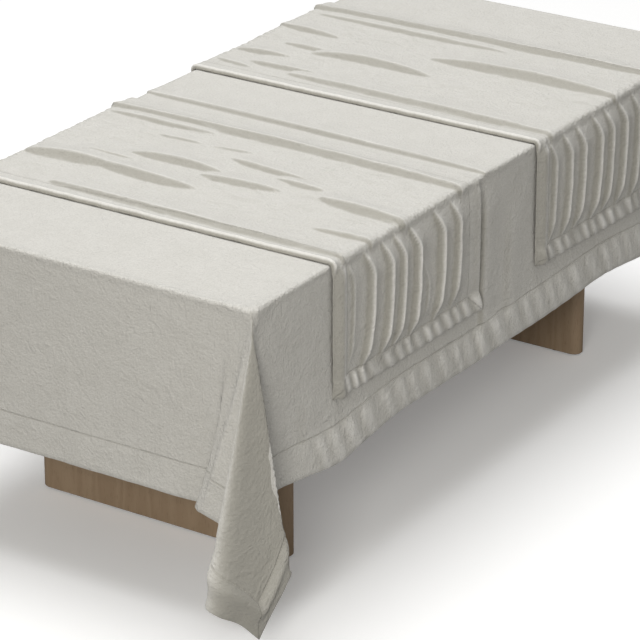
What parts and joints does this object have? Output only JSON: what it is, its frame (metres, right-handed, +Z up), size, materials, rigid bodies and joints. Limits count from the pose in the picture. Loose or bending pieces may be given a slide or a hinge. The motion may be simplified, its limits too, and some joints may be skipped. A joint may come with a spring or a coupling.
{
  "type": "dressed dining table",
  "caption": "Slab-leg dining table dressed with a hemmed linen tablecloth hanging over every side and loose linen runners laid across it.",
  "frame": {"origin": "on the floor under the middle of the table", "axes": "+X along the table's length towards the far end, +Y across it towards the back, +Z up"},
  "size_m": [2.5244, 1.159, 0.7549],
  "materials": {
    "oak": "matt oiled, fine vertical grain",
    "zinc_steel": "zinc plated",
    "brass": "machined",
    "glide_plastic": "matt",
    "tablecloth_linen": "washed, softly creased plain weave",
    "runner_linen": "washed, crumpled plain weave"
  },
  "bodies": {
    "dressed_table": {"table_top": "oak", "near_leg_panel": "oak", "far_leg_panel": "oak", "near_head_batten": "oak", "far_head_batten": "oak", "near_leg_dowels": "oak", "far_leg_dowels": "oak", "front_rail": "oak", "back_rail": "oak", "near_rail_brackets": "zinc_steel", "near_bracket_screws": "zinc_steel", "near_batten_bolts": "zinc_steel", "far_rail_brackets": "zinc_steel", "far_bracket_screws": "zinc_steel", "far_batten_bolts": "zinc_steel", "near_threaded_inserts": "brass", "far_threaded_inserts": "brass", "near_floor_glides": "glide_plastic", "far_floor_glides": "glide_plastic", "tablecloth_top": "tablecloth_linen", "tablecloth_near_drop": "tablecloth_linen", "tablecloth_near_hem": "tablecloth_linen", "tablecloth_far_drop": "tablecloth_linen", "tablecloth_far_hem": "tablecloth_linen", "tablecloth_front_drop": "tablecloth_linen", "tablecloth_front_hem": "tablecloth_linen", "tablecloth_back_drop": "tablecloth_linen", "tablecloth_back_hem": "tablecloth_linen", "tablecloth_near_front_fold": "tablecloth_linen", "tablecloth_near_front_hem": "tablecloth_linen", "tablecloth_near_back_fold": "tablecloth_linen", "tablecloth_near_back_hem": "tablecloth_linen", "tablecloth_far_front_fold": "tablecloth_linen", "tablecloth_far_front_hem": "tablecloth_linen", "tablecloth_far_back_fold": "tablecloth_linen", "tablecloth_far_back_hem": "tablecloth_linen"},
    "near_runner": {"near_runner_top": "runner_linen", "near_runner_front_drop": "runner_linen", "near_runner_front_hem": "runner_linen", "near_runner_back_drop": "runner_linen", "near_runner_back_hem": "runner_linen"},
    "far_runner": {"far_runner_top": "runner_linen", "far_runner_front_drop": "runner_linen", "far_runner_front_hem": "runner_linen", "far_runner_back_drop": "runner_linen", "far_runner_back_hem": "runner_linen"}
  },
  "joints": [
    {"name": "near_runner_slide", "type": "slide", "parent": "dressed_table", "child": "near_runner", "axis": [1, 0, 0], "range_m": [-0.12, 0.02]},
    {"name": "far_runner_slide", "type": "slide", "parent": "dressed_table", "child": "far_runner", "axis": [1, 0, 0], "range_m": [-0.06, 0.12]}
  ]
}
